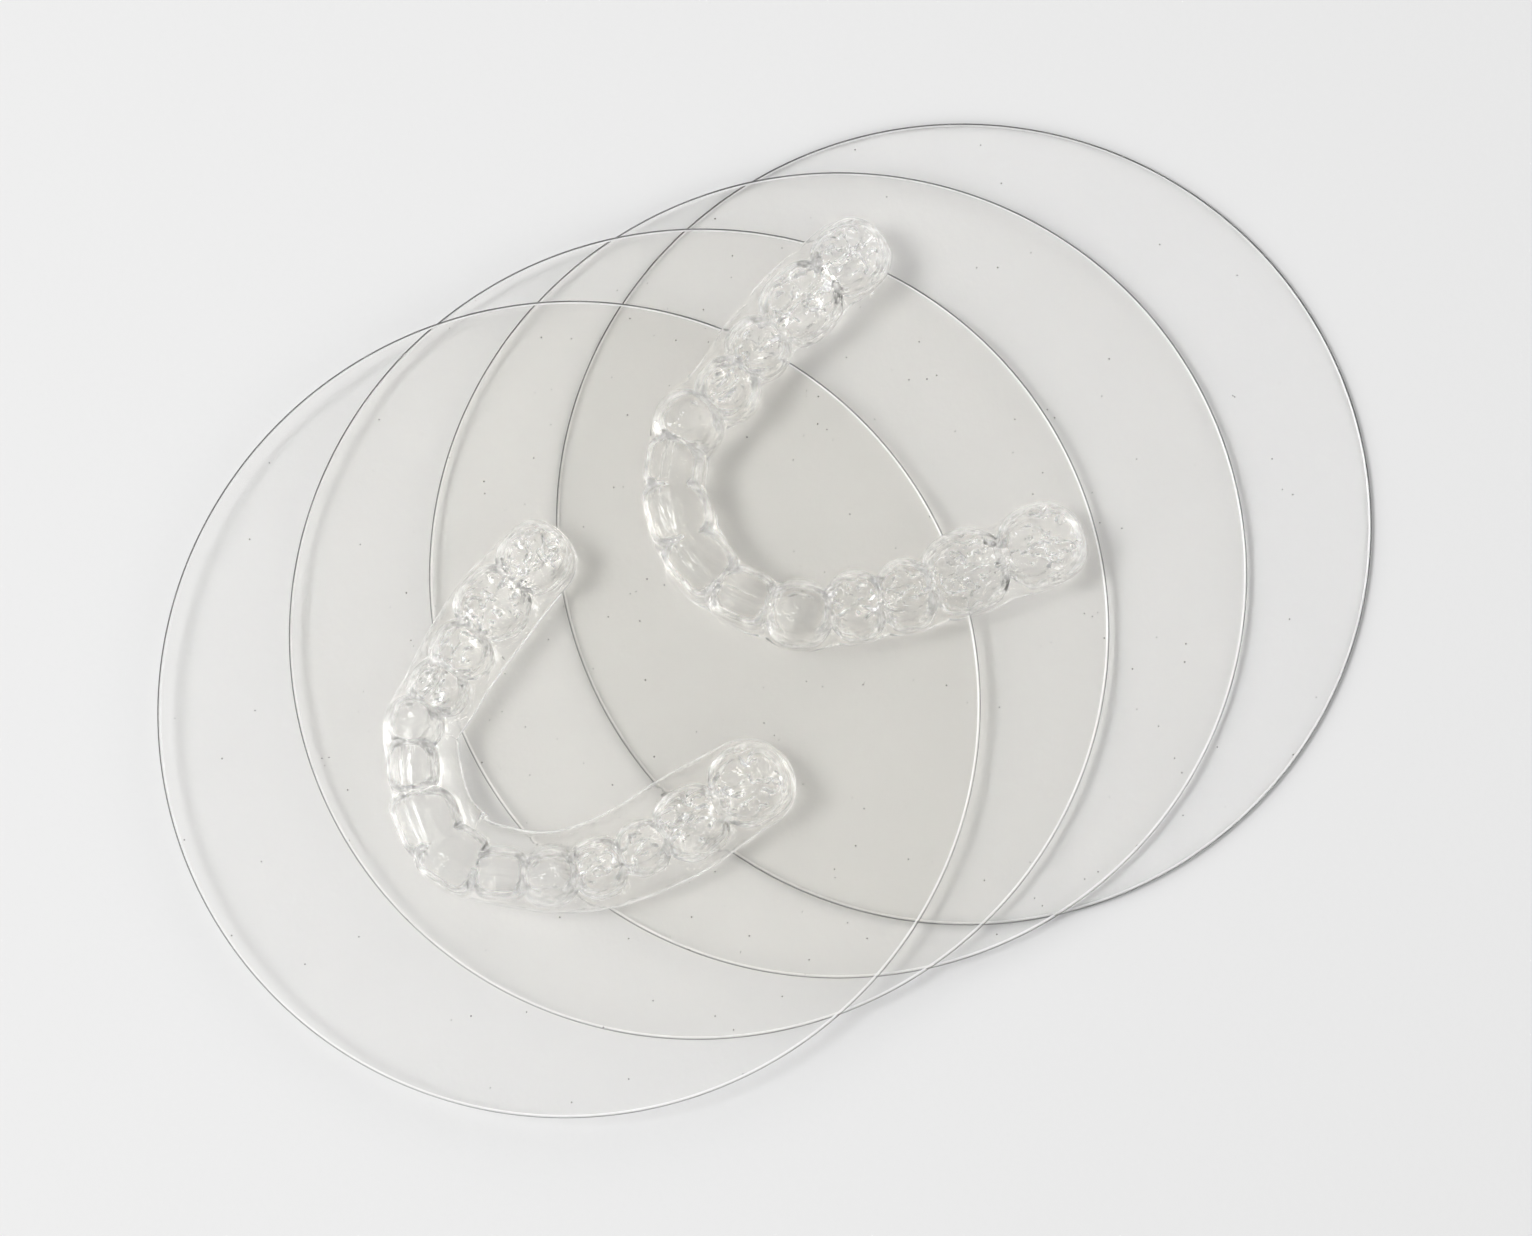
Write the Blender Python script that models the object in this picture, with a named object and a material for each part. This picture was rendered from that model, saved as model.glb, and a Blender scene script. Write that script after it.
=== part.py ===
"""Clear thermoforming set: two formed dental trays lying on a fan of four round sheet blanks.

Shape sizes are in millimetres and become metres when a mesh is made. +Z is up, +X runs along the fan,
and the origin is under the middle of the set, on the surface that it lies on.
"""
import math
from collections import namedtuple

import bmesh
import bpy
import numpy as np

MM = 0.001

# Round sheet blanks, from the lowest to the highest, and the fan that they lie in.
BLANK_DIAMETER = 125.0
BLANK_THICKNESS = 1.0
BLANK_SIDES = 96
REST_GAP = 0.3
FAN_CENTRES = ((33.4, -1.0), (12.5, 0.1), (-10.6, 1.0), (-33.4, -1.0))

# Formed trays: the sheet over the teeth, how far its creases and corners are rounded, and the mesh.
WALL = 0.8
CORE_HEIGHT = 3.2
GUM_HEIGHT = 3.0
ROUNDING = 0.35
BLEND = 0.4
SEARCH_REACH = 16.0
SEARCH_STEPS = 16
COLUMNS_PER_TOOTH = 5
FAN_COLUMNS = 7
TOP_ROWS = 6
WALL_ROWS = 3

# A crown's height above the gum edge, how much of its reach to the cheek and the tongue side is left at
# its top, how boxy its outline is on either side, how steeply its cusps fall away and how blunt they are,
# how far the gum stays inside the edge on either side, and its cusps. A cusp is its place towards the
# midline and the cheek, as parts of the half width and the reach, and its drop below the crown's height.
Crown = namedtuple("Crown", "height taper boxiness slope bluntness inset cusps")
INCISOR_CUSPS = ((-0.5, 0.05, 0.1), (0.5, 0.05, 0.0))
PREMOLAR_CUSPS = ((0.04, 0.50, 0.0), (0.10, -0.50, 0.5))
MOLAR_CUSPS = ((0.45, 0.55, 0.0), (-0.42, 0.52, 0.15), (0.28, -0.50, 0.0), (-0.55, -0.50, 0.6))
CROWNS = {
    "central": Crown(9.7, (0.57, 0.25), (5.0, 2.4), 0.10, 0.3, (0.3, 0.2), INCISOR_CUSPS),
    "lateral": Crown(9.2, (0.50, 0.30), (4.4, 2.3), 0.12, 0.3, (0.3, 0.3), INCISOR_CUSPS),
    "canine": Crown(9.9, (0.34, 0.34), (2.3, 2.1), 0.80, 1.4, (0.4, 0.8), ((0.0, 0.04, 0.0),)),
    "premolar": Crown(8.6, (0.42, 0.42), (2.4, 2.1), 0.80, 0.8, (0.3, 1.5), PREMOLAR_CUSPS),
    "molar": Crown(7.8, (0.46, 0.44), (2.6, 2.3), 0.80, 0.8, (0.4, 1.3), MOLAR_CUSPS),
}
TOOTH_ORDER = ("molar", "molar", "premolar", "premolar", "canine", "lateral", "central")

# A tray's teeth run round the arch from one second molar to the other, in the tray's own frame with its
# front towards +Y: x, y, crown width, then the reach to the cheek and the tongue side of the tray's edge
# and of its bulge over the crown.
Tray = namedtuple("Tray", "name place turn scallop inset teeth")
SCALLOPED = Tray(
    name="scalloped_tray",
    place=(17.0, 14.0),
    turn=94.0,
    scallop=1.3,
    inset=1.0,
    teeth=(
        (26.2, -19.9, 10.4, 7.4, 5.6, 6.2, 5.6),
        (24.2, -9.7, 11.2, 7.3, 6.2, 5.8, 6.2),
        (20.9, -0.6, 7.6, 7.4, 4.9, 5.5, 4.9),
        (17.8, 6.6, 7.8, 6.9, 5.2, 5.2, 5.2),
        (16.4, 14.5, 7.8, 6.0, 5.8, 5.4, 5.8),
        (11.6, 20.2, 7.2, 4.2, 5.6, 4.0, 5.2),
        (5.0, 24.0, 8.8, 3.8, 6.9, 3.8, 6.6),
        (-3.7, 24.5, 8.8, 3.9, 6.7, 3.8, 6.4),
        (-11.4, 20.6, 7.8, 4.3, 5.4, 4.2, 5.2),
        (-17.5, 14.3, 8.8, 5.6, 5.4, 5.6, 5.2),
        (-20.6, 6.3, 7.8, 5.7, 5.4, 5.7, 5.4),
        (-23.1, -1.0, 7.6, 5.7, 6.0, 5.7, 5.8),
        (-24.6, -10.6, 11.6, 6.3, 7.0, 6.3, 6.8),
        (-26.9, -22.5, 12.0, 6.0, 6.8, 6.0, 6.8),
    ),
)
STRAIGHT_CUT = Tray(
    name="straight_cut_tray",
    place=(-39.0, -7.0),
    turn=106.0,
    scallop=0.0,
    inset=0.0,
    teeth=(
        (23.8, -17.6, 9.6, 6.3, 6.2, 5.5, 5.9),
        (22.8, -8.3, 9.8, 6.4, 7.0, 5.6, 6.2),
        (20.8, 0.1, 6.9, 6.0, 6.8, 4.4, 5.8),
        (18.5, 6.4, 6.8, 5.7, 6.4, 4.6, 5.2),
        (16.7, 12.7, 7.0, 4.9, 6.8, 4.6, 4.8),
        (11.9, 17.2, 6.8, 3.8, 7.2, 3.6, 4.6),
        (4.7, 21.8, 8.2, 3.6, 8.8, 3.5, 6.6),
        (-3.1, 22.5, 8.2, 3.6, 9.6, 3.5, 6.8),
        (-9.2, 17.8, 6.8, 4.2, 7.8, 3.8, 4.6),
        (-14.3, 12.4, 7.6, 5.2, 7.2, 4.6, 4.6),
        (-17.7, 5.9, 7.2, 6.6, 7.2, 5.4, 4.3),
        (-20.0, -0.9, 6.9, 7.2, 7.6, 4.8, 4.0),
        (-21.9, -8.8, 9.8, 7.4, 8.2, 6.2, 5.3),
        (-24.3, -18.8, 10.6, 6.0, 8.2, 5.6, 7.0),
    ),
)


def clear_plastic(name, colour, roughness):
    """A clear Principled plastic for one sub-part."""
    material = bpy.data.materials.new(name)
    material.use_nodes = True
    shader = material.node_tree.nodes["Principled BSDF"]
    shader.inputs["Base Color"].default_value = (*colour, 1.0)
    shader.inputs["Roughness"].default_value = roughness
    shader.inputs["Metallic"].default_value = 0.0
    shader.inputs["Transmission Weight"].default_value = 0.9
    shader.inputs["Alpha"].default_value = 0.5
    return material


def add_object(name, bm, location, turn, material):
    """Turns a finished bmesh into a named object, smooth except at its sharp edges."""
    mesh = bpy.data.meshes.new(name)
    bmesh.ops.recalc_face_normals(bm, faces=bm.faces)
    bm.to_mesh(mesh)
    bm.free()
    mesh.shade_smooth()
    mesh.set_sharp_from_angle(angle=math.radians(50.0))
    mesh.materials.append(material)
    obj = bpy.data.objects.new(name, mesh)
    obj.location = location
    obj.rotation_euler = (0.0, 0.0, math.radians(turn))
    bpy.context.scene.collection.objects.link(obj)
    return obj


def blank_level(index):
    """Height of a blank's underside in the stack."""
    return index * (BLANK_THICKNESS + REST_GAP)


def make_blank(index):
    """One round sheet blank at its place in the fan."""
    bm = bmesh.new()
    bmesh.ops.create_cone(
        bm,
        cap_ends=True,
        segments=BLANK_SIDES,
        radius1=BLANK_DIAMETER / 2 * MM,
        radius2=BLANK_DIAMETER / 2 * MM,
        depth=BLANK_THICKNESS * MM,
    )
    x, y = FAN_CENTRES[index]
    height = blank_level(index) + BLANK_THICKNESS / 2
    name = f"blank_disc_{index + 1}"
    material = clear_plastic(name, (0.86, 0.87, 0.86), 0.12)
    return add_object(name, bm, (x * MM, y * MM, height * MM), 0.0, material)


def smooth_least(values, blend):
    """Smallest of the values along the first axis, with the creases rounded."""
    least = values.min(axis=0)
    return least - blend * np.log(np.exp((least - values) / blend).sum(axis=0))


def arch_spline(rows, samples_per_gap):
    """Rows read on a Catmull-Rom curve through the given ones, and their slopes."""
    rows = np.array(rows, dtype=float)
    ends = np.vstack((2 * rows[0] - rows[1], rows, 2 * rows[-1] - rows[-2]))
    count = (len(rows) - 1) * samples_per_gap + 1
    place = np.arange(count) / samples_per_gap
    gap = np.minimum(place.astype(int), len(rows) - 2)
    t = (place - gap)[:, None]
    p0, p1, p2, p3 = (ends[gap + k] for k in range(4))
    square = 2 * p0 - 5 * p1 + 4 * p2 - p3
    cube = 3 * p1 - p0 - 3 * p2 + p3
    curve = p1 + (t * (p2 - p0) + t**2 * square + t**3 * cube) / 2
    slope = (p2 - p0) / 2 + t * square + 1.5 * t**2 * cube
    return place, curve, slope


def tooth_kinds():
    """The crown of each tooth round the arch."""
    return [CROWNS[kind] for kind in TOOTH_ORDER + TOOTH_ORDER[::-1]]


def crown_field(crown, reach, tooth, along, midline, x, y, z, wall):
    """How far points lie outside one crown of the model, thickened by the wall; negative inside.

    midline is 1 where the arch's direction runs towards the midline, and -1 where it runs away.
    """
    centre_x, centre_y, width = tooth[:3]
    a = ((x - centre_x) * along[0] + (y - centre_y) * along[1]) * midline
    b = (x - centre_x) * along[1] - (y - centre_y) * along[0]
    rise = np.clip(z / crown.height, 0.0, 1.0)
    bulge = 1.0 - 0.9 * np.clip(0.28 - rise, 0.0, None) ** 2
    narrowing = np.clip((rise - 0.28) / 0.72, 0.0, 1.0) ** 2.0
    half_width = width / 2 * (bulge - 0.18 * narrowing) + wall
    cheek = b > 0
    side_reach = np.where(cheek, reach[0], reach[1])
    taper = np.where(cheek, crown.taper[0], crown.taper[1])
    depth = side_reach * (bulge - (1 - taper) * narrowing) + wall
    boxy, round_side = crown.boxiness
    power = np.where(cheek, boxy, round_side + (boxy - round_side) * rise**2)
    outline = (np.abs(a / half_width) ** power + np.abs(b / depth) ** power) ** (1 / power)
    side = (outline - 1.0) * np.minimum(half_width, depth)
    flanks = []
    for u, v, drop in crown.cusps:
        away = np.hypot(a - u * width / 2, b - v * side_reach)
        flanks.append(drop + crown.slope * (np.hypot(away, crown.bluntness) - crown.bluntness))
    top = z - (crown.height + wall) + smooth_least(np.array(flanks), BLEND)
    return -smooth_least(np.array((-side, -top)), ROUNDING)


def tray_field(tray, x, y, z, out, gum_reach, nearest, along, wall):
    """How far points lie outside the model's teeth and gum, thickened by the wall; negative inside.

    out is each point's distance from the arch's line, gum_reach the gum's reach there, and nearest the
    number of the nearest tooth to each column of points.
    """
    near = np.full((3,) + x.shape, SEARCH_REACH)
    for number, (tooth, kind) in enumerate(zip(tray.teeth, tooth_kinds())):
        midline = 1 if number < len(TOOTH_ORDER) else -1
        reach = [bulge - WALL for bulge in tooth[5:]]
        for step in (-1, 0, 1):
            columns = nearest == number + step
            if columns.any():
                points = (x[columns], y[columns], z[columns])
                near[step + 1, columns] = crown_field(
                    kind, reach, tooth, along[number], midline, *points, wall
                )
    limit = gum_reach - WALL + wall
    level = np.clip(z, 0.0, None) / (GUM_HEIGHT + wall)
    gum = ((np.abs(out) / limit) ** 3.0 + level**1.8) ** (1 / 2.4) - 1.0
    gum = gum * np.minimum(limit, GUM_HEIGHT + wall)
    return smooth_least(np.concatenate((near, gum[None])), BLEND)


def find_surface(field):
    """Distance along each ray at which the field turns from inside to outside, by halving."""
    low = 0.0
    high = SEARCH_REACH
    for _ in range(SEARCH_STEPS):
        middle = (low + high) / 2
        outside = field(middle) > 0
        high = np.where(outside, middle, high)
        low = np.where(outside, low, middle)
    return (low + high) / 2


def tray_columns(tray):
    """The upright half planes that the surface is built in: start point, direction and gum reach.

    They run along the cheek side, fan round the last molar, come back along the tongue side and fan
    round the other last molar. ridge numbers the point of the arch's line that each one starts from.
    """
    rows = [
        (x, y, cheek_reach - tray.inset * kind.inset[0], tongue_reach - tray.inset * kind.inset[1])
        for (x, y, _, cheek_reach, tongue_reach, _, _), kind in zip(tray.teeth, tooth_kinds())
    ]
    place, curve, slope = arch_spline(rows, COLUMNS_PER_TOOTH)
    line = curve[:, :2]
    tangent = slope[:, :2] / np.linalg.norm(slope[:, :2], axis=1)[:, None]
    cheek = np.column_stack((tangent[:, 1], -tangent[:, 0]))
    reach = (curve[:, 2], curve[:, 3])
    last = len(line) - 1
    ridge = list(range(last + 1))
    direction = list(cheek)
    edge = list(reach[0])
    for end, side in ((last, 0), (0, 1)):
        start = cheek[end] if side == 0 else -cheek[end]
        ahead = tangent[end] if side == 0 else -tangent[end]
        for turn in np.linspace(0.0, math.pi, FAN_COLUMNS + 2)[1:-1]:
            ridge.append(end)
            direction.append(math.cos(turn) * start + math.sin(turn) * ahead)
            share = turn / math.pi
            edge.append(reach[side][end] * (1 - share) + reach[1 - side][end] * share)
        if side == 0:
            ridge.extend(range(last, -1, -1))
            direction.extend(-cheek[::-1])
            edge.extend(reach[1][::-1])
    return place, line, tangent, np.array(ridge), np.array(direction), np.array(edge)


def tray_layer(tray, wall):
    """Points of the tray's outer or inner face, as columns of rows from the arch's line to the edge."""
    place, line, tangent, ridge, direction, gum_reach = tray_columns(tray)
    nearest = np.rint(place[ridge]).astype(int)
    along = tangent[::COLUMNS_PER_TOOTH]
    half_reach = [0.15 * sum(tooth[3:5]) for tooth in tray.teeth]
    core = np.interp(place, np.arange(len(tray.teeth)), half_reach)[ridge]
    # From straight up to straight out, then down the wall to the trimmed edge.
    tilt = math.pi / 2 * np.linspace(0.0, 1.0, TOP_ROWS + 1) ** 1.7
    spread = np.sin(math.pi / 2 * np.linspace(0.0, 1.0, TOP_ROWS + 1))
    trim = tray.scallop * (2 * np.abs(place - np.rint(place))[ridge]) ** 2
    drop = np.linspace(0.0, 1.0, WALL_ROWS + 1)[1:]
    level = CORE_HEIGHT + (trim[:, None] - CORE_HEIGHT) * drop[None, :]
    start_out = np.hstack((core[:, None] * spread, np.repeat(core[:, None], WALL_ROWS, axis=1)))
    start_z = np.hstack((np.full((len(ridge), TOP_ROWS + 1), CORE_HEIGHT), level))
    ray_out = np.hstack((np.sin(tilt), np.ones(WALL_ROWS)))[None, :]
    ray_up = np.hstack((np.cos(tilt), np.zeros(WALL_ROWS)))[None, :]

    def place_at(distance):
        out = start_out + distance * ray_out
        x = line[ridge, 0][:, None] + out * direction[:, 0][:, None]
        y = line[ridge, 1][:, None] + out * direction[:, 1][:, None]
        return x, y, start_z + distance * ray_up, out

    def field(distance):
        x, y, z, out = place_at(distance)
        return tray_field(tray, x, y, z, out, gum_reach[:, None], nearest, along, wall)

    x, y, z, _ = place_at(find_surface(field))
    return np.stack((x, y, z), axis=-1), ridge


def make_tray(tray, level):
    """One formed tray: an open-bottomed shell over the teeth, resting on its trimmed edge."""
    bm = bmesh.new()
    layers = []
    for wall in (WALL, 0.0):
        points, ridge = tray_layer(tray, wall)
        crest = {}
        layer = []
        for column, number in zip(points, ridge):
            if number not in crest:
                crest[number] = bm.verts.new(column[0] * MM)
            layer.append([crest[number]] + [bm.verts.new(point * MM) for point in column[1:]])
        layers.append(layer)
    count = len(layers[0])
    for number in range(count):
        following = (number + 1) % count
        for layer in layers:
            here, there = layer[number], layer[following]
            for row in range(len(here) - 1):
                corners = (here[row], here[row + 1], there[row + 1], there[row])
                bm.faces.new(list(dict.fromkeys(corners)))
        outer, inner = layers
        bm.faces.new((outer[number][-1], outer[following][-1], inner[following][-1], inner[number][-1]))
    bmesh.ops.triangulate(bm, faces=bm.faces)
    x, y = tray.place
    material = clear_plastic(tray.name, (0.9, 0.91, 0.89), 0.08)
    return add_object(tray.name, bm, (x * MM, y * MM, level * MM), tray.turn, material)


def main():
    for obj in list(bpy.data.objects):
        bpy.data.objects.remove(obj, do_unlink=True)
    blanks = [make_blank(index) for index in range(len(FAN_CENTRES))]
    tray_level = blank_level(len(blanks))
    for tray in (SCALLOPED, STRAIGHT_CUT):
        make_tray(tray, tray_level)


main()
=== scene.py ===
"""Looks of two clear thermoformed dental trays lying on a fan of round clear sheet blanks.

Lengths in the shape functions are in millimetres; they become metres when a mesh is made.
"""

import math
from collections import namedtuple

import bmesh
import bpy
import numpy as np
from mathutils import Matrix, Vector


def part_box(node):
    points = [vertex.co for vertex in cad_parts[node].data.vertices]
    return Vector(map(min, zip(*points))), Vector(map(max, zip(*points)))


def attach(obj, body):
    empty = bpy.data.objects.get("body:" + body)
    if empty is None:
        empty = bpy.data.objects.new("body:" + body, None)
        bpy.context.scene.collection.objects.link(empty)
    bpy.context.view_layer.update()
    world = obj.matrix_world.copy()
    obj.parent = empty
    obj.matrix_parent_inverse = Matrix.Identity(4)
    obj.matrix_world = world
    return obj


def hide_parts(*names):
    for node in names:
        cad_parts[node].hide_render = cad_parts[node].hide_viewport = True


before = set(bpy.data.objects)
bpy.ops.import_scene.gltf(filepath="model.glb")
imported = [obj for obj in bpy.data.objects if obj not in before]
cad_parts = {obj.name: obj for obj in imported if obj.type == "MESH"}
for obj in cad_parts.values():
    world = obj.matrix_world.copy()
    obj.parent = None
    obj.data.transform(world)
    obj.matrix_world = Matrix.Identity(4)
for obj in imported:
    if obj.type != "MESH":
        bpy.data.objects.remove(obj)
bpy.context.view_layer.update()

MM = 0.001

# Brightness of the surroundings from the horizon (0) to straight overhead (1).
WORLD_LEVELS = ((0.0, 0.12), (0.15, 0.15), (0.42, 1.0), (0.84, 1.0), (0.93, 0.08), (1.0, 0.08))

# Scale of the wave whose bands are 0.2 mm high, like the layers of a printed model.
LAYER_SCALE = 2 * math.pi / (20 * 0.2 * MM)

# Sheet blanks: how far the cut raises a lip round the flat face, where the lip starts, is fully raised
# and how wide the bevel at the cut is.
BLANK_NODES = ("blank_disc_1", "blank_disc_2", "blank_disc_3", "blank_disc_4")
BLANK_SEGMENTS = 288
LIP_HEIGHT = 0.08
LIP_START = 0.48
LIP_CREST = 0.25
CUT_BEVEL = 0.09

# Wear of the blanks: how far apart dust specks may lie, how large they get, and how deep scuffs are.
SPECK_SPACING = 9.0
SPECK_RADIUS = 0.13
SPECK_SHARE = 0.45
SPECK_COLOUR = (0.10, 0.09, 0.08, 1.0)
SCUFF_DEPTH = 0.006
SCUFF_LEVEL = 0.72

# Formed trays: the sheet's thickness and the share of it lost at the trimmed edge, the height that the
# search for the surface starts from, the gum's height, and how finely the faces are searched and meshed.
WALL = 0.8
EDGE_THINNING = 0.4
CORE_HEIGHT = 3.2
GUM_HEIGHT = 3.0
COARSE_GRAIN = 0.07
FINE_GRAIN = 0.03
SEARCH_REACH = 16.0
SEARCH_STEPS = 18
COLUMNS_PER_TOOTH = 22
FAN_COLUMNS = 34
TOP_ROWS = 40
WALL_ROWS = 14

# How the sheet copies the model: the inner face keeps its creases, and the outer face rounds them.
Face = namedtuple("Face", "wall crease rounding join grain seed")
OUTER = Face(wall=WALL, crease=0.12, rounding=0.15, join=0.14, grain=0.9, seed=3)
INNER = Face(wall=0.0, crease=0.05, rounding=0.07, join=0.07, grain=1.2, seed=4)

# A crown's height above the gum edge, how much of its reach to the cheek and the tongue side is left at
# its top, how boxy its outline is on either side, how steeply its ridges fall away and how blunt they
# are, how deep its tongue side is hollowed, how wrinkled its top is, how far the gum stays inside the
# edge on either side, and its ridges. A ridge runs between two points, each given as its place towards
# the midline and the cheek, as parts of the half width and the reach, and its drop below the crown's
# height.
Crown = namedtuple("Crown", "height taper boxiness slope bluntness hollow wrinkle inset ridges")
INCISOR_RIDGES = (
    ((-0.80, 0.26, 0.40), (-0.30, 0.34, 0.0)),
    ((-0.30, 0.34, 0.0), (0.30, 0.34, 0.05)),
    ((0.30, 0.34, 0.05), (0.84, 0.28, 0.0)),
    ((-0.70, -0.08, 0.45), (0.74, -0.04, 0.25)),
)
CANINE_RIDGES = (
    ((0.0, 0.04, 0.0), (0.78, -0.04, 1.9)),
    ((0.0, 0.04, 0.0), (-0.80, -0.04, 2.3)),
    ((0.0, 0.04, 0.2), (0.05, -0.85, 4.2)),
    ((0.0, 0.04, 0.2), (0.0, 0.85, 4.4)),
    ((0.78, -0.04, 1.9), (0.55, -0.75, 4.4)),
    ((-0.80, -0.04, 2.3), (-0.55, -0.75, 4.6)),
)
PREMOLAR_RIDGES = (
    ((0.04, 0.50, 0.0), (0.0, 0.04, 2.3)),
    ((0.04, 0.50, 0.0), (0.74, 0.36, 1.3)),
    ((0.04, 0.50, 0.0), (-0.72, 0.36, 1.4)),
    ((0.04, 0.50, 0.0), (0.0, 0.86, 2.4)),
    ((0.10, -0.50, 0.5), (0.02, -0.04, 2.3)),
    ((0.10, -0.50, 0.5), (0.66, -0.34, 1.5)),
    ((0.10, -0.50, 0.5), (-0.62, -0.36, 1.6)),
    ((0.10, -0.50, 0.5), (0.06, -0.86, 2.8)),
    ((0.74, 0.36, 1.3), (0.66, -0.34, 1.5)),
    ((-0.72, 0.36, 1.4), (-0.62, -0.36, 1.6)),
)
MOLAR_RIDGES = (
    ((0.45, 0.55, 0.0), (0.14, 0.10, 2.2)),
    ((0.45, 0.55, 0.0), (0.82, 0.42, 1.2)),
    ((0.45, 0.55, 0.0), (0.05, 0.54, 1.5)),
    ((0.45, 0.55, 0.0), (0.45, 0.90, 2.6)),
    ((-0.42, 0.52, 0.15), (0.0, 0.54, 1.5)),
    ((-0.42, 0.52, 0.15), (-0.82, 0.38, 1.3)),
    ((-0.42, 0.52, 0.15), (-0.08, 0.02, 1.6)),
    ((-0.42, 0.52, 0.15), (-0.40, 0.88, 2.6)),
    ((0.28, -0.50, 0.0), (-0.08, 0.02, 1.6)),
    ((0.28, -0.50, 0.0), (0.24, -0.04, 2.2)),
    ((0.28, -0.50, 0.0), (0.82, -0.38, 1.2)),
    ((0.28, -0.50, 0.0), (-0.20, -0.56, 1.7)),
    ((0.28, -0.50, 0.0), (0.28, -0.90, 2.8)),
    ((-0.55, -0.50, 0.6), (-0.36, -0.18, 2.1)),
    ((-0.55, -0.50, 0.6), (-0.26, -0.56, 1.7)),
    ((-0.55, -0.50, 0.6), (-0.84, -0.32, 1.5)),
    ((-0.55, -0.50, 0.6), (-0.50, -0.86, 3.0)),
    ((0.82, 0.42, 1.2), (0.82, -0.38, 1.2)),
    ((-0.82, 0.38, 1.3), (-0.84, -0.32, 1.5)),
)
CROWNS = {
    "central": Crown(
        9.7, (0.88, 0.25), (3.8, 2.4), 0.85, 0.08, 0.6, 0.04, (0.3, 0.2), INCISOR_RIDGES
    ),
    "lateral": Crown(
        9.2, (0.84, 0.30), (3.4, 2.3), 0.85, 0.08, 0.5, 0.04, (0.3, 0.3), INCISOR_RIDGES
    ),
    "canine": Crown(
        9.9, (0.34, 0.34), (2.3, 2.1), 0.85, 1.2, 0.0, 0.15, (0.4, 0.8), CANINE_RIDGES
    ),
    "premolar": Crown(
        8.6, (0.42, 0.42), (2.4, 2.1), 0.95, 0.30, 0.0, 0.42, (0.3, 1.5), PREMOLAR_RIDGES
    ),
    "molar": Crown(
        7.8, (0.46, 0.44), (2.6, 2.3), 0.95, 0.25, 0.0, 0.55, (0.0, 0.7), MOLAR_RIDGES
    ),
}
TOOTH_ORDER = ("molar", "molar", "premolar", "premolar", "canine", "lateral", "central")

# A tray's teeth run round the arch from one second molar to the other, in the tray's own frame with its
# front towards +Y: x, y, crown width, then the reach to the cheek and the tongue side of the tray's edge
# and of its bulge over the crown.
Tray = namedtuple("Tray", "node place turn scallop inset teeth")
SCALLOPED = Tray(
    node="scalloped_tray",
    place=(17.0, 14.0),
    turn=94.0,
    scallop=1.3,
    inset=1.0,
    teeth=(
        (26.2, -19.9, 10.4, 7.4, 5.6, 6.2, 5.6),
        (24.2, -9.7, 11.2, 7.3, 6.2, 5.8, 6.2),
        (20.9, -0.6, 7.6, 7.4, 4.9, 5.5, 4.9),
        (17.8, 6.6, 7.8, 6.9, 5.2, 5.2, 5.2),
        (16.4, 14.5, 7.8, 6.0, 5.8, 5.4, 5.8),
        (11.6, 20.2, 7.2, 4.2, 5.6, 4.0, 5.2),
        (5.0, 24.0, 8.8, 3.8, 6.9, 3.8, 6.6),
        (-3.7, 24.5, 8.8, 3.9, 6.7, 3.8, 6.4),
        (-11.4, 20.6, 7.8, 4.3, 5.4, 4.2, 5.2),
        (-17.5, 14.3, 8.8, 5.6, 5.4, 5.6, 5.2),
        (-20.6, 6.3, 7.8, 5.7, 5.4, 5.7, 5.4),
        (-23.1, -1.0, 7.6, 5.7, 6.0, 5.7, 5.8),
        (-24.6, -10.6, 11.6, 6.3, 7.0, 6.3, 6.8),
        (-26.9, -22.5, 12.0, 6.0, 6.8, 6.0, 6.8),
    ),
)
STRAIGHT_CUT = Tray(
    node="straight_cut_tray",
    place=(-39.0, -7.0),
    turn=106.0,
    scallop=0.0,
    inset=0.0,
    teeth=(
        (23.8, -17.6, 9.6, 6.3, 6.2, 5.5, 5.9),
        (22.8, -8.3, 9.8, 6.4, 7.0, 5.6, 6.2),
        (20.8, 0.1, 6.9, 6.0, 6.8, 4.4, 5.8),
        (18.5, 6.4, 6.8, 5.7, 6.4, 4.6, 5.2),
        (16.7, 12.7, 7.0, 4.9, 6.8, 4.6, 4.8),
        (11.9, 17.2, 6.8, 3.8, 7.2, 3.6, 4.6),
        (4.7, 21.8, 8.2, 3.6, 8.8, 3.5, 6.6),
        (-3.1, 22.5, 8.2, 3.6, 9.6, 3.5, 6.8),
        (-9.2, 17.8, 6.8, 4.2, 7.8, 3.8, 4.6),
        (-14.3, 12.4, 7.6, 5.2, 7.2, 4.6, 4.6),
        (-17.7, 5.9, 7.2, 6.6, 7.2, 5.4, 4.3),
        (-20.0, -0.9, 6.9, 7.2, 7.6, 4.8, 4.0),
        (-21.9, -8.8, 9.8, 7.4, 8.2, 6.2, 5.3),
        (-24.3, -18.8, 10.6, 6.0, 8.2, 5.6, 7.0),
    ),
)


def smooth_least(values, blend):
    """Smallest of the values along the first axis, with the creases rounded."""
    least = values.min(axis=0)
    return least - blend * np.log(np.exp((least - values) / blend).sum(axis=0))


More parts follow.
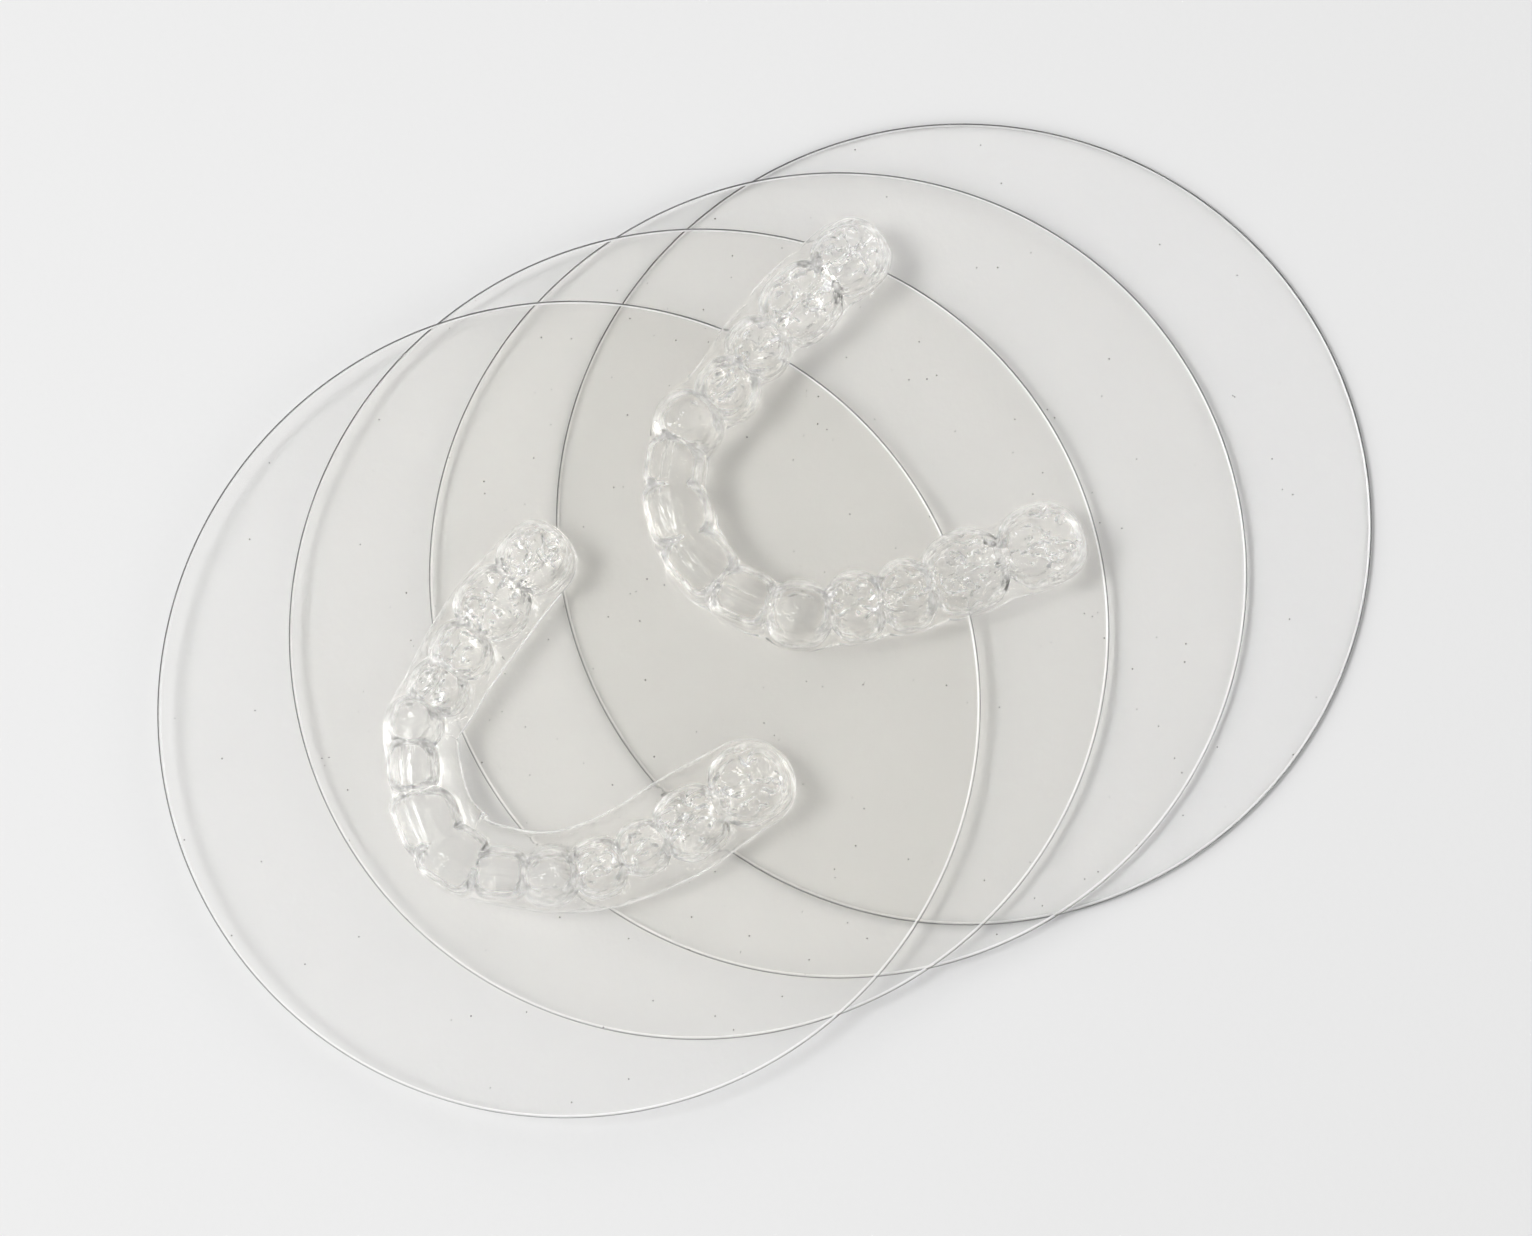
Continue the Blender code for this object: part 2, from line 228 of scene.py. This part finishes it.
def grain(x, y, z, size, seed):
    """Smooth noise between -1 and 1 from a seeded lattice of the given cell size."""
    lattice = np.random.default_rng(seed).uniform(-1.0, 1.0, (32, 32, 32))
    total = np.zeros(x.shape)
    place = np.stack((x, y, z)) / size
    cell = np.floor(place).astype(int)
    part = place - cell
    part = part * part * (3 - 2 * part)
    for corner in np.ndindex(2, 2, 2):
        index = [(cell[axis] + corner[axis]) % 32 for axis in range(3)]
        share = [part[axis] if corner[axis] else 1 - part[axis] for axis in range(3)]
        total += lattice[tuple(index)] * share[0] * share[1] * share[2]
    return total


def arch_spline(rows, samples_per_gap):
    """Rows read on a Catmull-Rom curve through the given ones, and their slopes."""
    rows = np.array(rows, dtype=float)
    ends = np.vstack((2 * rows[0] - rows[1], rows, 2 * rows[-1] - rows[-2]))
    count = (len(rows) - 1) * samples_per_gap + 1
    place = np.arange(count) / samples_per_gap
    gap = np.minimum(place.astype(int), len(rows) - 2)
    t = (place - gap)[:, None]
    p0, p1, p2, p3 = (ends[gap + k] for k in range(4))
    square = 2 * p0 - 5 * p1 + 4 * p2 - p3
    cube = 3 * p1 - p0 - 3 * p2 + p3
    curve = p1 + (t * (p2 - p0) + t**2 * square + t**3 * cube) / 2
    slope = (p2 - p0) / 2 + t * square + 1.5 * t**2 * cube
    return place, curve, slope


def ridge_drop(a, b, half_width, reach, ridge, slope, bluntness):
    """Drop below the crown's height at (a, b) of the flank that falls away from one ridge."""
    (u0, v0, drop0), (u1, v1, drop1) = ridge
    start = (u0 * half_width, v0 * reach)
    run = (u1 * half_width - start[0], v1 * reach - start[1])
    length_squared = run[0] ** 2 + run[1] ** 2
    share = np.clip(((a - start[0]) * run[0] + (b - start[1]) * run[1]) / length_squared, 0.0, 1.0)
    off = np.hypot(a - start[0] - share * run[0], b - start[1] - share * run[1])
    return drop0 + (drop1 - drop0) * share + slope * (np.sqrt(off**2 + bluntness**2) - bluntness)


def edge_thinning(z, face):
    """How much further out the inner face lies near the tray's edge, where the sheet was drawn thinner."""
    return (WALL - face.wall) * EDGE_THINNING * np.clip(1.0 - z / GUM_HEIGHT, 0.0, 1.0)


def crown_field(crown, reach, tooth, along, midline, x, y, z, face):
    """How far points lie outside one crown of the model, thickened by the wall; negative inside.

    midline is 1 where the arch's direction runs towards the midline, and -1 where it runs away.
    """
    centre_x, centre_y, width = tooth[:3]
    a = ((x - centre_x) * along[0] + (y - centre_y) * along[1]) * midline
    b = (x - centre_x) * along[1] - (y - centre_y) * along[0]
    rise = np.clip(z / crown.height, 0.0, 1.0)
    bulge = 1.0 - 0.9 * np.clip(0.28 - rise, 0.0, None) ** 2
    narrowing = np.clip((rise - 0.28) / 0.72, 0.0, 1.0) ** 2.0
    squeeze = 0.08 if crown.hollow else 0.25
    half_width = width / 2 * (bulge - squeeze * narrowing) + face.wall
    cheek = b > 0
    side_reach = np.where(cheek, reach[0], reach[1])
    taper = np.where(cheek, crown.taper[0], crown.taper[1])
    beside = np.clip(np.abs(a) / half_width, 0.0, 1.0)
    hollow = np.where(cheek, 0.25, 1.0) * crown.hollow * (beside**2 - 0.4) * 4 * rise * (1 - rise)
    depth = side_reach * (bulge - (1 - taper) * narrowing) + hollow + face.wall + edge_thinning(z, face)
    boxy, round_side = crown.boxiness
    power = np.where(cheek, boxy, round_side + (boxy - round_side) * rise**2)
    outline = (np.abs(a / half_width) ** power + np.abs(b / depth) ** power) ** (1 / power)
    side = (outline - 1.0) * np.minimum(half_width, depth)
    flanks = [
        ridge_drop(a, b, width / 2, np.where(b > 0, reach[0], reach[1]), ridge, crown.slope, crown.bluntness)
        for ridge in crown.ridges
    ]
    wrinkles = crown.wrinkle * (0.5 - np.abs(grain(x, y, z, 1.4, 7)) * 3.0) * (1.0 if face.wall == 0 else 0.7)
    top = z - (crown.height + face.wall) + smooth_least(np.array(flanks), face.crease) - wrinkles
    return -smooth_least(np.array((-side, -top)), face.rounding)


def tray_field(tray, x, y, z, out, gum_reach, nearest, along, face):
    """How far points lie outside the model's teeth and gum, thickened by the wall; negative inside."""
    kinds = [CROWNS[kind] for kind in TOOTH_ORDER + TOOTH_ORDER[::-1]]
    near = np.full((3,) + x.shape, SEARCH_REACH)
    for number, tooth in enumerate(tray.teeth):
        midline = 1 if number < len(TOOTH_ORDER) else -1
        kind = kinds[number]
        reach = [bulge - WALL for bulge in tooth[5:]]
        for step in (-1, 0, 1):
            columns = nearest == number + step
            if columns.any():
                points = (x[columns], y[columns], z[columns])
                near[step + 1, columns] = crown_field(
                    kind, reach, tooth, along[number], midline, *points, face
                )
    teeth = smooth_least(near, face.join)
    limit = gum_reach - WALL + face.wall + edge_thinning(z, face)
    level = np.clip(z, 0.0, None) / (GUM_HEIGHT + face.wall)
    gum = ((np.abs(out) / limit) ** 3.0 + level**1.8) ** (1 / 2.4) - 1.0
    gum = gum * np.minimum(limit, GUM_HEIGHT + face.wall)
    field = smooth_least(np.stack((teeth, gum)), 0.15 + face.join)
    coarse = grain(x, y, z, 1.1, face.seed)
    fine = grain(x, y, z, 0.45, face.seed + 10)
    unevenness = np.array([0.25 + 1.4 * kind.wrinkle for kind in kinds])[nearest][:, None]
    unevenness = unevenness * np.clip(0.1 + z / GUM_HEIGHT, 0.0, 1.0)
    return field + face.grain * unevenness * (COARSE_GRAIN * coarse + FINE_GRAIN * fine)


def find_surface(field):
    """Distance along each ray at which the field turns from inside to outside, by halving."""
    low = 0.0
    high = SEARCH_REACH
    for _ in range(SEARCH_STEPS):
        middle = (low + high) / 2
        outside = field(middle) > 0
        high = np.where(outside, middle, high)
        low = np.where(outside, low, middle)
    return (low + high) / 2


def tray_columns(tray):
    """The upright half planes that the surface is built in: start point, direction and gum reach.

    They run along the cheek side, fan round the last molar, come back along the tongue side and fan
    round the other last molar.
    """
    kinds = [CROWNS[kind] for kind in TOOTH_ORDER + TOOTH_ORDER[::-1]]
    rows = [
        (x, y, cheek_reach - tray.inset * kind.inset[0], tongue_reach - tray.inset * kind.inset[1])
        for (x, y, _, cheek_reach, tongue_reach, _, _), kind in zip(tray.teeth, kinds)
    ]
    place, curve, slope = arch_spline(rows, COLUMNS_PER_TOOTH)
    line = curve[:, :2]
    tangent = slope[:, :2] / np.linalg.norm(slope[:, :2], axis=1)[:, None]
    cheek = np.column_stack((tangent[:, 1], -tangent[:, 0]))
    reach = (curve[:, 2], curve[:, 3])
    last = len(line) - 1
    ridge = list(range(last + 1))
    direction = list(cheek)
    edge = list(reach[0])
    for end, side in ((last, 0), (0, 1)):
        start = cheek[end] if side == 0 else -cheek[end]
        ahead = tangent[end] if side == 0 else -tangent[end]
        for turn in np.linspace(0.0, math.pi, FAN_COLUMNS + 2)[1:-1]:
            ridge.append(end)
            direction.append(math.cos(turn) * start + math.sin(turn) * ahead)
            share = turn / math.pi
            edge.append(reach[side][end] * (1 - share) + reach[1 - side][end] * share)
        if side == 0:
            ridge.extend(range(last, -1, -1))
            direction.extend(-cheek[::-1])
            edge.extend(reach[1][::-1])
    return place, line, tangent, np.array(ridge), np.array(direction), np.array(edge)


def tray_layer(tray, face):
    """Points of the tray's outer or inner face, as columns of rows from the arch's line to the edge."""
    place, line, tangent, ridge, direction, gum_reach = tray_columns(tray)
    nearest = np.rint(place[ridge]).astype(int)
    along = tangent[::COLUMNS_PER_TOOTH]
    kinds = [CROWNS[kind] for kind in TOOTH_ORDER + TOOTH_ORDER[::-1]]
    core = np.interp(place, np.arange(len(kinds)), [0.15 * sum(tooth[3:5]) for tooth in tray.teeth])[ridge]
    rows = np.linspace(0.0, 1.0, TOP_ROWS + 1)
    tilt = math.pi / 2 * rows**1.7
    spread = np.sin(math.pi / 2 * rows)
    between = (2 * np.abs(place - np.rint(place))[ridge]) ** 2
    trim = tray.scallop * between + 0.08 * np.sin(place[ridge] * 9.1) + 0.08
    drop = np.linspace(0.0, 1.0, WALL_ROWS + 1)[1:]
    level = CORE_HEIGHT + (trim[:, None] - CORE_HEIGHT) * drop[None, :]
    start_out = np.hstack((core[:, None] * spread, np.repeat(core[:, None], WALL_ROWS, axis=1)))
    start_z = np.hstack((np.full((len(ridge), TOP_ROWS + 1), CORE_HEIGHT), level))
    ray_out = np.hstack((np.sin(tilt), np.ones(WALL_ROWS)))[None, :]
    ray_up = np.hstack((np.cos(tilt), np.zeros(WALL_ROWS)))[None, :]

    def place_at(distance):
        out = start_out + distance * ray_out
        x = line[ridge, 0][:, None] + out * direction[:, 0][:, None]
        y = line[ridge, 1][:, None] + out * direction[:, 1][:, None]
        return x, y, start_z + distance * ray_up, out

    def field(distance):
        x, y, z, out = place_at(distance)
        return tray_field(tray, x, y, z, out, gum_reach[:, None], nearest, along, face)

    x, y, z, _ = place_at(find_surface(field))
    return np.stack((x, y, z), axis=-1), ridge


def make_tray(tray, material):
    """One formed tray as a closed thin shell, standing where its CAD node stands."""
    low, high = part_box(tray.node)
    bm = bmesh.new()
    layers = []
    for face in (OUTER, INNER):
        points, ridge = tray_layer(tray, face)
        crest = {}
        layer = []
        for column, number in zip(points, ridge):
            if number not in crest:
                crest[number] = bm.verts.new(column[0] * MM)
            layer.append([crest[number]] + [bm.verts.new(point * MM) for point in column[1:]])
        layers.append(layer)
    count = len(layers[0])
    for number in range(count):
        following = (number + 1) % count
        for layer in layers:
            here, there = layer[number], layer[following]
            for row in range(len(here) - 1):
                corners = (here[row], here[row + 1], there[row + 1], there[row])
                bm.faces.new(list(dict.fromkeys(corners)))
        outer, inner = layers
        bm.faces.new((outer[number][-1], outer[following][-1], inner[following][-1], inner[number][-1]))
    bmesh.ops.recalc_face_normals(bm, faces=bm.faces)
    x, y = tray.place
    stand = Matrix.Translation((x * MM, y * MM, low[2])) @ Matrix.Rotation(math.radians(tray.turn), 4, "Z")
    bm.transform(stand)
    top = max(vert.co.z for vert in bm.verts)
    shrink = min(1.0, (high[2] - low[2]) / (top - low[2]))
    for vert in bm.verts:
        vert.co.z = low[2] + (vert.co.z - low[2]) * shrink
    return add_piece(tray.node + "_shell", bm, (material,), tray.node, 60.0)


def make_blank(node, materials):
    """One sheet blank in the place of its CAD node, with bands of lip and cut edge round it; the cut edge
    band is tinted dark as painted shade.

    materials are those of the faces, the lip and the cut edge, whose dark tint is painted shade.
    """
    low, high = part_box(node)
    middle = (Vector(low) + Vector(high)) / 2
    radius = (high[0] - low[0]) / 2
    bevel = CUT_BEVEL * MM
    face = high[2] - LIP_HEIGHT * MM
    profile = (
        (0.0, face),
        (radius - 0.60 * MM, face),
        (radius - LIP_START * MM, face),
        (radius - LIP_CREST * MM, high[2]),
        (radius - bevel, high[2]),
        (radius, high[2] - bevel),
        (radius, low[2] + bevel),
        (radius - bevel, low[2]),
        (radius - 0.3 * MM, low[2]),
        (0.0, low[2]),
    )
    bm = bmesh.new()
    rings = []
    for out, height in profile:
        turns = [2 * math.pi * number / BLANK_SEGMENTS for number in range(BLANK_SEGMENTS if out else 1)]
        ring = [(middle.x + out * math.cos(turn), middle.y + out * math.sin(turn), height) for turn in turns]
        rings.append([bm.verts.new(point) for point in ring])
    for band, (upper, lower) in enumerate(zip(rings, rings[1:])):
        for number in range(BLANK_SEGMENTS):
            following = (number + 1) % BLANK_SEGMENTS
            corners = (
                upper[number % len(upper)],
                upper[following % len(upper)],
                lower[following % len(lower)],
                lower[number % len(lower)],
            )
            face = bm.faces.new(list(dict.fromkeys(corners)))
            # Band 2 is the lip. Bands 4 to 6 are the cut edge, whose dark tint is painted shade for the dark
            # line that refraction makes at the rim.
            face.material_index = {2: 1, 4: 2, 5: 2, 6: 2}.get(band, 0)
    bmesh.ops.recalc_face_normals(bm, faces=bm.faces)
    return add_piece(node + "_sheet", bm, materials, node, 8.0)


def add_piece(name, bm, materials, node, sharp_angle):
    """Makes the object of a finished piece, which rides with its CAD node's body and replaces the node."""
    mesh = bpy.data.meshes.new(name)
    bm.to_mesh(mesh)
    bm.free()
    mesh.shade_smooth()
    mesh.set_sharp_from_angle(angle=math.radians(sharp_angle))
    for material in materials:
        mesh.materials.append(material)
    piece = bpy.data.objects.new(name, mesh)
    bpy.context.scene.collection.objects.link(piece)
    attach(piece, node)
    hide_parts(node)
    return piece


def add_relief(material, bumps, layer=0.0):
    """Adds fine relief to a material.

    Each bump is its scale per metre, its detail and its depth. layer is the depth of the steps that a
    formed sheet copies from a printed model.
    """
    nodes, links = material.node_tree.nodes, material.node_tree.links
    coordinates = nodes.new("ShaderNodeTexCoord")
    heights = []
    if layer:
        steps = nodes.new("ShaderNodeTexWave")
        steps.bands_direction = "Z"
        steps.inputs["Scale"].default_value = LAYER_SCALE
        steps.inputs["Distortion"].default_value = 0.6
        links.new(coordinates.outputs["Object"], steps.inputs["Vector"])
        heights.append((steps.outputs["Fac"], layer))
    for scale, detail, depth in bumps:
        noise = nodes.new("ShaderNodeTexNoise")
        noise.inputs["Scale"].default_value = scale
        noise.inputs["Detail"].default_value = detail
        links.new(coordinates.outputs["Object"], noise.inputs["Vector"])
        heights.append((noise.outputs["Fac"], depth))
    relief = nodes["Principled BSDF"].inputs["Normal"]
    for height, depth in heights:
        bump = nodes.new("ShaderNodeBump")
        bump.inputs["Distance"].default_value = depth
        links.new(height, bump.inputs["Height"])
        links.new(bump.outputs["Normal"], relief)
        relief = bump.inputs["Normal"]


def add_wear(material):
    """Adds dust specks and small scuffs. They differ between faces, which lie at different heights."""
    nodes, links = material.node_tree.nodes, material.node_tree.links

    def math_node(operation, first, second):
        node = nodes.new("ShaderNodeMath")
        node.operation = operation
        for socket, value in zip(node.inputs, (first, second)):
            if isinstance(value, float):
                socket.default_value = value
            else:
                links.new(value, socket)
        return node.outputs["Value"]

    coordinates = nodes.new("ShaderNodeTexCoord")
    parts = nodes.new("ShaderNodeSeparateXYZ")
    links.new(coordinates.outputs["Object"], parts.inputs["Vector"])
    place = nodes.new("ShaderNodeCombineXYZ")
    for axis, shift in (("X", 137.0), ("Y", 293.0)):
        moved = math_node("MULTIPLY", parts.outputs["Z"], shift)
        links.new(math_node("ADD", parts.outputs[axis], moved), place.inputs[axis])
    cells = nodes.new("ShaderNodeTexVoronoi")
    cells.voronoi_dimensions = "2D"
    cells.inputs["Scale"].default_value = 1.0 / (SPECK_SPACING * MM)
    links.new(place.outputs["Vector"], cells.inputs["Vector"])
    chance = nodes.new("ShaderNodeSeparateColor")
    links.new(cells.outputs["Color"], chance.inputs["Color"])
    size = math_node("MULTIPLY", chance.outputs["Red"], SPECK_RADIUS / SPECK_SPACING)
    speck = math_node("LESS_THAN", cells.outputs["Distance"], size)
    some = math_node("GREATER_THAN", chance.outputs["Green"], SPECK_SHARE)
    mix = nodes.new("ShaderNodeMix")
    mix.data_type = "RGBA"
    shader = nodes["Principled BSDF"]
    mix.inputs["A"].default_value = shader.inputs["Base Color"].default_value[:]
    mix.inputs["B"].default_value = SPECK_COLOUR
    links.new(math_node("MULTIPLY", speck, some), mix.inputs["Factor"])
    links.new(mix.outputs["Result"], shader.inputs["Base Color"])
    patches = nodes.new("ShaderNodeTexNoise")
    patches.inputs["Scale"].default_value = 500.0
    patches.inputs["Detail"].default_value = 1.0
    links.new(coordinates.outputs["Object"], patches.inputs["Vector"])
    scratches = nodes.new("ShaderNodeTexNoise")
    scratches.inputs["Scale"].default_value = 2500.0
    scratches.inputs["Detail"].default_value = 2.0
    links.new(coordinates.outputs["Object"], scratches.inputs["Vector"])
    scuffs = nodes.new("ShaderNodeBump")
    scuffs.inputs["Distance"].default_value = SCUFF_DEPTH * MM
    links.new(math_node("GREATER_THAN", patches.outputs["Fac"], SCUFF_LEVEL), scuffs.inputs["Strength"])
    links.new(scratches.outputs["Fac"], scuffs.inputs["Height"])
    links.new(scuffs.outputs["Normal"], shader.inputs["Normal"])


def clear_plastic(name, tint, roughness, reflection=1.0, clarity=1.0):
    """Clear plastic. reflection scales how much it mirrors head on, and clarity how much light it passes."""
    material = bpy.data.materials.new(name)
    material.use_nodes = True
    shader = material.node_tree.nodes["Principled BSDF"]
    shader.inputs["Base Color"].default_value = (*tint, 1.0)
    shader.inputs["Roughness"].default_value = roughness
    shader.inputs["IOR"].default_value = 1.5
    shader.inputs["Specular Tint"].default_value = (reflection, reflection, reflection, 1.0)
    shader.inputs["Transmission Weight"].default_value = clarity
    return material


def make_materials():
    """The sheet, the same sheet with a little haze, its raised lip, its cut edge tinted dark as painted
    shade, and the formed trays.
    """
    sheet = clear_plastic("clear_sheet", (1.0, 0.997, 0.988), 0.0, reflection=0.6)
    hazy_sheet = clear_plastic("hazy_sheet", (0.986, 0.984, 0.979), 0.0, reflection=0.6)
    lip = clear_plastic("raised_lip", (1.0, 0.998, 0.991), 0.3, clarity=0.4)
    # The cut edge is partly real and partly painted: its roughness is the frosted cut, and its near-black
    # tint is painted shade for the dark rim line that refraction and light lost inside the sheet make.
    painted_shade_cut_edge = clear_plastic("painted_shade_cut_edge", (0.08, 0.08, 0.08), 0.45)
    formed = clear_plastic("formed_tray", (0.995, 0.993, 0.985), 0.02)
    add_wear(sheet)
    add_wear(hazy_sheet)
    add_relief(lip, ((3000.0, 2.0, 0.00001),))
    add_relief(painted_shade_cut_edge, ((3000.0, 2.0, 0.00003),))
    add_relief(formed, ((900.0, 2.0, 0.00002), (4000.0, 1.0, 0.000003)), layer=0.000006)
    return sheet, hazy_sheet, lip, painted_shade_cut_edge, formed


def make_floor():
    """A plain pale surface, far larger than the set."""
    bm = bmesh.new()
    bmesh.ops.create_grid(bm, x_segments=1, y_segments=1, size=4.0)
    mesh = bpy.data.meshes.new("floor")
    bm.to_mesh(mesh)
    bm.free()
    material = bpy.data.materials.new("floor")
    material.use_nodes = True
    shader = material.node_tree.nodes["Principled BSDF"]
    shader.inputs["Base Color"].default_value = (0.80, 0.80, 0.80, 1.0)
    shader.inputs["Roughness"].default_value = 0.7
    add_relief(material, ((700.0, 2.0, 0.00004),))
    mesh.materials.append(material)
    floor = bpy.data.objects.new("floor", mesh)
    floor.location = (0.0, 0.0, -0.0001)
    bpy.context.scene.collection.objects.link(floor)


def make_camera():
    """The camera, nearly overhead and turned so that the fan climbs to the right."""
    data = bpy.data.cameras.new("camera")
    data.sensor_width = 36.0
    data.lens = 92.1
    camera = bpy.data.objects.new("camera", data)
    camera.rotation_mode = "QUATERNION"
    back = Vector((-0.04957, -0.1471, 0.98788))
    right = Vector((0.90088, -0.43363, -0.01937))
    up = back.cross(right)
    camera.matrix_world = Matrix((right, up, back)).transposed().to_4x4()
    camera.location = (-0.0303, -0.0900, 0.5933)
    bpy.context.scene.collection.objects.link(camera)
    bpy.context.scene.camera = camera


def make_lights():
    """A large soft key from the left of the picture, and pale surroundings that dim towards the horizon."""
    data = bpy.data.lights.new("key", "AREA")
    data.shape = "DISK"
    data.size = 0.75
    data.energy = 16.4
    key = bpy.data.objects.new("key", data)
    towards = Vector((-0.9, 0.43, 0.0)).normalized() * math.sin(math.radians(30.0))
    towards.z = math.cos(math.radians(30.0))
    key.location = towards * 2.0
    key.rotation_mode = "QUATERNION"
    key.rotation_quaternion = towards.to_track_quat("Z", "Y")
    bpy.context.scene.collection.objects.link(key)
    world = bpy.data.worlds.new("surroundings")
    world.use_nodes = True
    nodes, links = world.node_tree.nodes, world.node_tree.links
    direction = nodes.new("ShaderNodeTexCoord")
    parts = nodes.new("ShaderNodeSeparateXYZ")
    ramp = nodes.new("ShaderNodeValToRGB")
    for position, level in WORLD_LEVELS[1:-1]:
        ramp.color_ramp.elements.new(position)
    for element, (position, level) in zip(ramp.color_ramp.elements, WORLD_LEVELS):
        element.position = position
        element.color = (level, level, level, 1.0)
    links.new(direction.outputs["Generated"], parts.inputs["Vector"])
    links.new(parts.outputs["Z"], ramp.inputs["Fac"])
    links.new(ramp.outputs["Color"], nodes["Background"].inputs["Color"])
    nodes["Background"].inputs["Strength"].default_value = 0.95
    bpy.context.scene.world = world


def set_light_paths():
    """Enough bounces for light to pass through the whole stack and both faces of a tray."""
    scene = bpy.context.scene
    scene.view_settings.view_transform = "Standard"
    scene.cycles.max_bounces = 40
    scene.cycles.transmission_bounces = 40
    scene.cycles.glossy_bounces = 12
    scene.cycles.diffuse_bounces = 4
    scene.cycles.blur_glossy = 0.0
    scene.cycles.sample_clamp_indirect = 0.0


def main():
    make_camera()
    make_lights()
    make_floor()
    set_light_paths()
    sheet, hazy_sheet, lip, painted_shade_cut_edge, formed = make_materials()
    for number, node in enumerate(BLANK_NODES):
        make_blank(node, (hazy_sheet if number == 0 else sheet, lip, painted_shade_cut_edge))
    for tray in (SCALLOPED, STRAIGHT_CUT):
        make_tray(tray, formed)


main()
